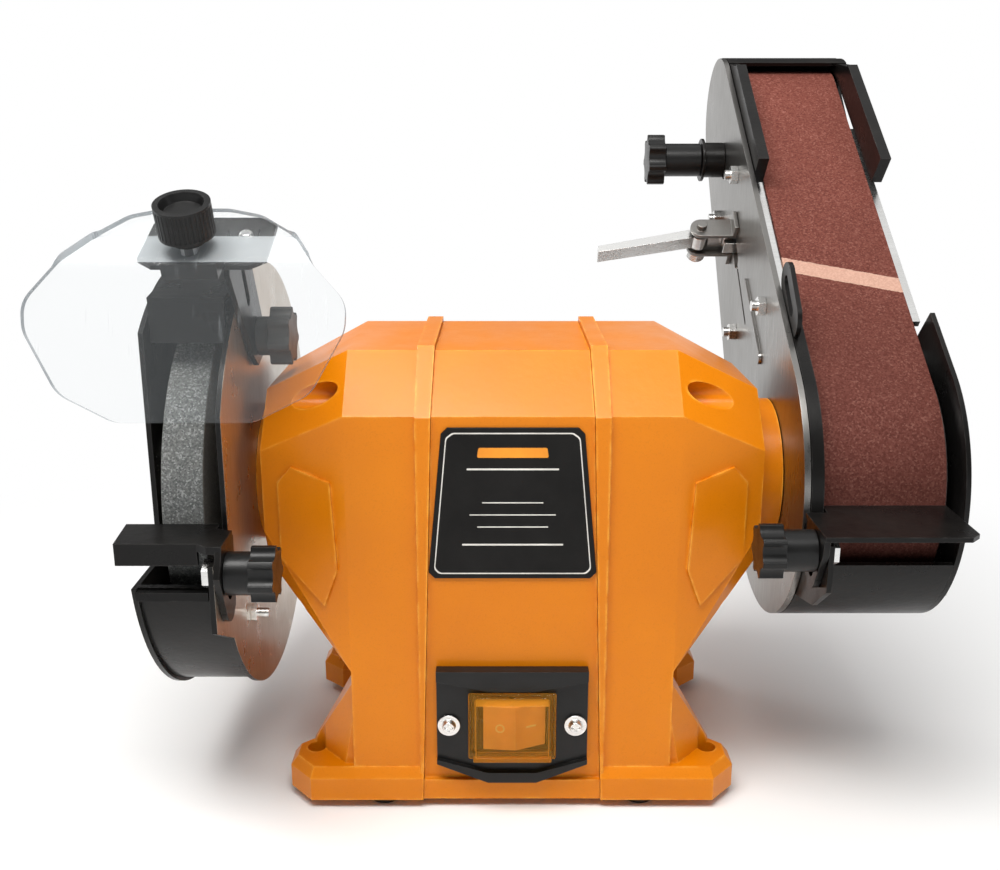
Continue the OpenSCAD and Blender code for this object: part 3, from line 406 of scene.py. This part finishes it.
CLEAR_EDGE = see_through("clear_plastic_edge", (0.30, 0.32, 0.34), body=0.16, rim=0.6,
                         shade=(0.72, 0.75, 0.77))
AMBER = see_through("amber_plastic", (1.0, 0.90, 0.62), body=0.10, rim=0.6, shade=(0.75, 0.36, 0.05))
STONE = grinding_stone()
CLOTH = abrasive_cloth(ARM_LEAN, SHAFT_Z, joint=(0.1104, 0.1194), slant=0.27)
COPPER = copper_winding()
CORE = laminated()

SLOT_MATERIAL = {
    "orange_paint": ORANGE,
    "black_paint": BLACK,
    "black_plastic": PLASTIC,
    "grey_paint": GREY,
    "bright_steel": STEEL,
    "lamination": CORE,
    "machined_alloy": ALLOY,
    "winding_copper": COPPER,
    "foot_rubber": RUBBER,
    "grinding_stone": STONE,
    "abrasive_cloth": CLOTH,
    "blotter_paper": PAPER,
    "clear_plastic": CLEAR,
    "amber_plastic": AMBER,
    "nameplate_black": PLATE,
    "capacitor_can": CAN,
    "knob_grey": GREY_KNOB,
}
NODE_MATERIAL = {"left_guard": GUARD, "switch_cover": AMBER, "rocker": AMBER_KEY, "lever_pivot": GREY}


# ------------------------------------------------------------------ CAD nodes: soft edges and finish

CAST = ("centre_shell", "left_casting", "right_casting")
CHAMFER = {"centre_shell": 1.2, "left_casting": 1.6, "right_casting": 1.6, "grinding_wheel": 0.7,
           "left_rest": 0.45, "right_rest": 0.45, "rubber_feet": 0.5, "shield_knob": 0.35,
           "tracking_knob": 0.9, "left_rest_knob": 0.8, "right_rest_knob": 0.8, "bracket_knob": 0.8,
           "nameplate": 0.3, "switch_bezel": 0.5, "switch_cover": 0.7, "rocker": 0.6,
           "tension_lever": 0.5, "belt_drum": 0.6, "idler_roller": 0.6}


def smooth_group():
    """A node group that marks every face smooth, so that curved faces show no bands."""
    group = bpy.data.node_groups.new("shade_smooth", "GeometryNodeTree")
    group.interface.new_socket("Geometry", in_out="INPUT", socket_type="NodeSocketGeometry")
    group.interface.new_socket("Geometry", in_out="OUTPUT", socket_type="NodeSocketGeometry")
    enter = group.nodes.new("NodeGroupInput")
    leave = group.nodes.new("NodeGroupOutput")
    smooth = group.nodes.new("GeometryNodeSetShadeSmooth")
    group.links.new(enter.outputs[0], smooth.inputs["Geometry"])
    group.links.new(smooth.outputs[0], leave.inputs[0])
    return group


SMOOTH = smooth_group()


def soften(obj, width_mm, segments=2):
    """Rounds the edges of a CAD mesh and evens its shading, and leaves the mesh itself as it is."""
    weld = obj.modifiers.new("weld", "WELD")
    weld.merge_threshold = 0.004 * MM
    # flat faces come as many thin triangles: join them before their edges are rounded
    flat = obj.modifiers.new("flat", "DECIMATE")
    flat.decimate_type = "DISSOLVE"
    flat.angle_limit = math.radians(0.3)
    bevel = obj.modifiers.new("bevel", "BEVEL")
    bevel.width = width_mm * MM
    bevel.segments = segments
    bevel.limit_method = "ANGLE"
    bevel.angle_limit = math.radians(28)
    bevel.use_clamp_overlap = True
    bevel.miter_outer = "MITER_ARC"
    shade = obj.modifiers.new("shade", "NODES")
    shade.node_group = SMOOTH
    even = obj.modifiers.new("even", "WEIGHTED_NORMAL")
    even.mode = "FACE_AREA"
    even.keep_sharp = True


def finish_cad(name, obj, slots):
    """Gives a CAD node its material and its soft edges."""
    obj.data.materials.clear()
    obj.data.materials.append(NODE_MATERIAL.get(name, SLOT_MATERIAL[slots[name]]))
    soften(obj, CHAMFER.get(name, 0.3), 3 if name in CAST else 2)


# ------------------------------------------------------------------ pieces built here

def new_piece(name, bm, material, body):
    """Makes a flat-shaded object of bm that rides on a body and carries the given material."""
    mesh = bpy.data.meshes.new(name)
    bm.to_mesh(mesh)
    bm.free()
    mesh.materials.append(material)
    for poly in mesh.polygons:
        poly.use_smooth = False
    obj = bpy.data.objects.new(name, mesh)
    bpy.context.scene.collection.objects.link(obj)
    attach(obj, body)
    return obj


def rounded(points, radius, steps):
    """A closed outline with its corners rounded; radius may be cut short by short sides."""
    out = []
    n = len(points)
    points = [Vector(p) for p in points]
    for i, p in enumerate(points):
        a, b = points[i - 1], points[(i + 1) % n]
        ta, tb = (a - p), (b - p)
        half = ta.angle(tb) / 2
        cut = min(radius / math.tan(half), ta.length * 0.48, tb.length * 0.48)
        start, end = p + ta.normalized() * cut, p + tb.normalized() * cut
        for k in range(steps + 1):
            t = k / steps
            out.append((1 - t) ** 2 * start + 2 * t * (1 - t) * p + t * t * end)
    return out


def prism_ring(bm, outer, inner, z0, z1, place):
    """A flat frame between two outlines with the same number of points."""
    rows = [[bm.verts.new(place(p.x, p.y, z)) for p in line]
            for line, z in ((outer, z0), (outer, z1), (inner, z1), (inner, z0))]
    n = len(outer)
    for a in range(4):
        low, high = rows[a], rows[(a + 1) % 4]
        for i in range(n):
            j = (i + 1) % n
            bm.faces.new((low[i], low[j], high[j], high[i]))


def prism(bm, outline, z0, z1, place):
    """A flat piece inside one outline."""
    low = [bm.verts.new(place(p.x, p.y, z0)) for p in outline]
    high = [bm.verts.new(place(p.x, p.y, z1)) for p in outline]
    n = len(outline)
    bm.faces.new(list(reversed(low)))
    bm.faces.new(high)
    for i in range(n):
        j = (i + 1) % n
        bm.faces.new((low[i], low[j], high[j], high[i]))


# the shield's bent sheet, in millimetres and degrees
SHEET_T = 2.7
FOLD_AT = 8.8
FOLD_R = 4.0
FOLDS = ((FOLD_AT, 34, 1), (-FOLD_AT, 50.5, -1))
SLOT_R = 3
SLOT_ENDS = (8.0, -2.0)


def shield_outline():
    """Outline of the flat shield blank, unrolled: across and along, in millimetres."""
    side = [(12, 18.8), (24, 16.3), (36, 8.8), (44, -8.8),
            (56.5, -22.8), (56, -32.8), (44, -54.8), (24, -64.8)]
    both = side + [(-x, y) for x, y in reversed(side)]
    return rounded(both, 13, 8)


def shield_bend(v, lift):
    """Point of the bent sheet at v along it: three flats joined by two small arcs."""
    for edge, degrees, sign in FOLDS:
        turn = math.radians(degrees)
        past = sign * (v - edge) + FOLD_R * turn / 2
        if past > 0:
            start = edge - sign * FOLD_R * turn / 2
            bent = min(past, FOLD_R * turn)
            a = bent / FOLD_R
            y = sign * FOLD_R * math.sin(a)
            z = sign * FOLD_R * (1 - math.cos(a))
            rest = past - bent
            y += sign * rest * math.cos(a)
            z += sign * rest * math.sin(a)
            return start + y - lift * math.sin(a), z + lift * math.cos(a)
    return v, lift


def build_shield():
    """The clear shield: a flat blank with its slot, cut across at the folds, bent and thickened."""
    lo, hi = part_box("eye_shield")
    mid_x = (lo.x + hi.x) / 2
    knob = pivot("shield_knob_turn")
    base = Matrix.Translation((mid_x, knob.y, knob.z)) @ Matrix.Rotation(STRIP_TILT, 4, "X")
    bm = bmesh.new()
    outline = [bm.verts.new((p.x, p.y, 0)) for p in shield_outline()]
    edges = [bm.edges.new((outline[i - 1], outline[i])) for i in range(len(outline))]
    slot = []
    for end, y in zip((1, -1), SLOT_ENDS):
        for k in range(13):
            a = math.pi * k / 12
            slot.append(bm.verts.new((SLOT_R * math.cos(a) * end, y + SLOT_R * math.sin(a) * end, 0)))
    edges += [bm.edges.new((slot[i - 1], slot[i])) for i in range(len(slot))]
    bmesh.ops.triangle_fill(bm, use_beauty=True, use_dissolve=False, edges=edges)
    cuts = [s * (FOLD_AT + d) for s in (1, -1) for d in (-2.2, -1.6, -1, -0.4, 0.2, 0.8, 1.4, 2.0)]
    cuts += [-16, -24, -32, -40, -48, -56, 13]
    for y in sorted(cuts):
        bmesh.ops.bisect_plane(bm, geom=list(bm.verts) + list(bm.edges) + list(bm.faces), dist=1e-5,
                               plane_co=(0, y, 0), plane_no=(0, 1, 0))
    for v in bm.verts:
        y, z = shield_bend(v.co.y, 0.1)
        v.co = base @ Vector((v.co.x * MM, y * MM, z * MM))
    bmesh.ops.recalc_face_normals(bm, faces=bm.faces)
    if sum(f.normal.z * f.calc_area() for f in bm.faces) < 0:
        bmesh.ops.reverse_faces(bm, faces=bm.faces)
    obj = new_piece("shield_sheet", bm, CLEAR, "shield")
    obj.data.materials.append(CLEAR_EDGE)
    thick = obj.modifiers.new("thickness", "SOLIDIFY")
    thick.thickness = SHEET_T * MM
    thick.offset = 1
    thick.material_offset_rim = 1
    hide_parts("eye_shield")


# the nameplate's sheet, and the print on it and on the rocker, in millimetres
PLATE_T = 0.8
INK_T = 0.06


def on_nameplate(lift):
    """Places a point on the nameplate: x across, z up from its lower edge, lift in front of its face."""
    lo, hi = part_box("nameplate")
    tilt = math.atan2(hi.y - lo.y - PLATE_T * MM, hi.z - lo.z)
    base = Matrix.Translation(((lo.x + hi.x) / 2, lo.y, lo.z)) @ Matrix.Rotation(-tilt, 4, "X")

    def place(x, z, out):
        return base @ Vector((x * MM, -(out + lift) * MM, z * MM))
    return place


def build_nameplate_print():
    """A plain border and a few plain rules: no lettering and no mark."""
    plate = [(-23.5, 60), (23.5, 60), (26.2, 58), (31.3, 4), (29.4, 2), (-29.4, 2), (-31.3, 4), (-26.2, 58)]
    outer = rounded(plate, 2.5, 4)
    middle = Vector((0, 30))
    inner = [middle + Vector(((p.x - middle.x) * 0.985, (p.y - middle.y) * 0.983)) for p in outer]
    place = on_nameplate(0.01)
    bm = bmesh.new()
    prism_ring(bm, outer, inner, 0.0, INK_T, place)
    rules = ((18, 45.0, 0.70), (12, 31.5, 0.44), (17, 26.5, 0.44), (14, 21.5, 0.44), (20, 14, 0.70))
    for half, z, high in rules:
        bar = rounded([(-half, z), (half, z), (half, z + high), (-half, z + high)], 0.15, 2)
        prism(bm, bar, 0.0, INK_T, place)
    new_piece("nameplate_rules", bm, INK_PALE, "housing")
    bm = bmesh.new()
    bar = rounded([(-14, 50), (14, 50), (13.4, 54), (-13.4, 54)], 0.8, 4)
    prism(bm, bar, 0.0, INK_T, place)
    new_piece("nameplate_bar", bm, INK_WARM, "housing")


def build_rocker_marks():
    """The two plain switch marks: a ring for off and a bar for on."""
    lo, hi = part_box("rocker")
    zc = (lo.z + hi.z) / 2 / MM
    turn = Matrix.Translation((0, pivot("switch_rocker").y, 0)) @ Matrix.Rotation(math.radians(9), 4, "Z")

    def half(sign):
        """Places a point on one slope of the rocker: u along it, lift off it."""
        a, b = Vector((0, -9.4, 0)), Vector((sign * 13, -6, 0))
        along = (b - a).normalized()
        out = Vector((along.y, -along.x, 0)) * sign
        if out.y > 0:
            out = -out

        def place(u, z, lift):
            p = a + along * u + out * lift
            return turn @ Vector((p.x * MM, p.y * MM, z * MM))
        return place

    def circle(u, r):
        turns = [k * math.pi / 12 for k in range(24)]
        return [Vector((u + r * math.cos(a), zc + r * math.sin(a))) for a in turns]

    bm = bmesh.new()
    ring = circle(6.5, 1.9)
    core = circle(6.5, 1.9 * 0.72)
    prism_ring(bm, ring, core, 0.02, 0.12, half(-1))
    bar = rounded([(4.5, zc - 0.35), (9.0, zc - 0.35), (9.0, zc + 0.35), (4.5, zc + 0.35)], 0.2, 3)
    prism(bm, bar, 0.02, 0.12, half(1))
    new_piece("rocker_marks", bm, INK_PALE, "rocker")


# ------------------------------------------------------------------ set, light and camera

# brightness of the white surroundings, which the far floor shares
GLOW = 1.0


def build_floor():
    """A pale floor that fades into the same white as the surroundings."""
    bm = bmesh.new()
    bmesh.ops.create_circle(bm, cap_ends=True, segments=96, radius=30.0)
    mesh = bpy.data.meshes.new("floor")
    bm.to_mesh(mesh)
    bm.free()
    floor = bpy.data.objects.new("floor", mesh)
    floor.location.z = CAD_BOX[0].z - 0.0001
    bpy.context.scene.collection.objects.link(floor)
    m = Mat("floor")
    m.color(m.ramp(m.noise(3, 3, 0.5), [(0.3, (0.90, 0.90, 0.895)), (0.7, (0.93, 0.93, 0.925))]))
    m.set(Roughness=0.7, Specular_IOR_Level=0.15)
    far = m.node("ShaderNodeEmission")
    far.inputs["Color"].default_value = (1, 1, 1, 1)
    far.inputs["Strength"].default_value = GLOW
    reach = m.node("ShaderNodeVectorMath", operation="LENGTH")
    m.link(m.co, reach.inputs[0])
    blend = m.node("ShaderNodeMapRange", interpolation_type="SMOOTHSTEP")
    blend.inputs["From Min"].default_value = 0.12
    blend.inputs["From Max"].default_value = 0.52
    m.link(reach.outputs["Value"], blend.inputs["Value"])
    both = m.node("ShaderNodeMixShader")
    m.link(blend.outputs["Result"], both.inputs[0])
    m.link(m.b.outputs[0], both.inputs[1])
    m.link(far.outputs[0], both.inputs[2])
    m.link(both.outputs[0], m.t.nodes["Material Output"].inputs["Surface"])
    floor.data.materials.append(m.m)


def area_light(name, place, aim, size, power, tint=(1, 1, 1)):
    data = bpy.data.lights.new(name, "AREA")
    data.shape = "RECTANGLE"
    data.size, data.size_y = size
    data.energy = power
    data.color = tint
    obj = bpy.data.objects.new(name, data)
    obj.location = place
    obj.rotation_euler = (Vector(aim) - Vector(place)).to_track_quat("-Z", "Y").to_euler()
    bpy.context.scene.collection.objects.link(obj)


def build_set():
    """World, floor and the three lamps."""
    world = bpy.data.worlds.new("studio")
    world.use_nodes = True
    tree = world.node_tree
    back = tree.nodes["Background"]
    back.inputs["Color"].default_value = (1, 1, 1, 1)
    # white round the horizon, a dim band above it and a broad soft light overhead
    place = tree.nodes.new("ShaderNodeTexCoord")
    split = tree.nodes.new("ShaderNodeSeparateXYZ")
    ramp = tree.nodes.new("ShaderNodeValToRGB")
    stops = ramp.color_ramp.elements
    for at, level in ((0.13, 1.0), (0.20, 0.10), (0.66, 0.10), (0.86, 0.9)):
        stop = stops.new(at)
        stop.color = (level * GLOW, level * GLOW, level * GLOW, 1)
    stops[0].color = (GLOW, GLOW, GLOW, 1)
    tree.links.new(place.outputs["Generated"], split.inputs["Vector"])
    tree.links.new(split.outputs["Z"], ramp.inputs["Fac"])
    tree.links.new(ramp.outputs["Color"], back.inputs["Strength"])
    bpy.context.scene.world = world
    bpy.context.scene.view_settings.view_transform = "Standard"
    build_floor()
    aim = (0, 0, 0.15)
    area_light("key", (-0.12, -0.34, 0.84), aim, (0.7, 0.3), 8.0, (1.0, 0.985, 0.96))
    area_light("side", (1.1, -0.35, 0.55), aim, (0.35, 0.8), 0.9, (0.97, 0.985, 1.0))
    area_light("rim", (-0.9, 0.7, 0.8), aim, (0.6, 0.4), 4.0)


def build_camera():
    """The viewpoint: in front of the machine, above the spindle and looking a little down."""
    data = bpy.data.cameras.new("camera")
    data.sensor_width = 36
    data.lens = 39.6
    data.clip_start, data.clip_end = 0.01, 100
    cam = bpy.data.objects.new("camera", data)
    cam.location = (-0.005, -0.468, SHAFT_Z + 0.145)
    cam.rotation_euler = (math.radians(90 - 15.4), 0, 0)
    bpy.context.scene.collection.objects.link(cam)
    bpy.context.scene.camera = cam


# ------------------------------------------------------------------ build

def main():
    slots = {part["node"]: part["material_slot"] for part in frame["record"]["subparts"]}
    for name, obj in NODES.items():
        finish_cad(name, obj, slots)
    build_shield()
    build_nameplate_print()
    build_rocker_marks()
    build_set()
    build_camera()


main()
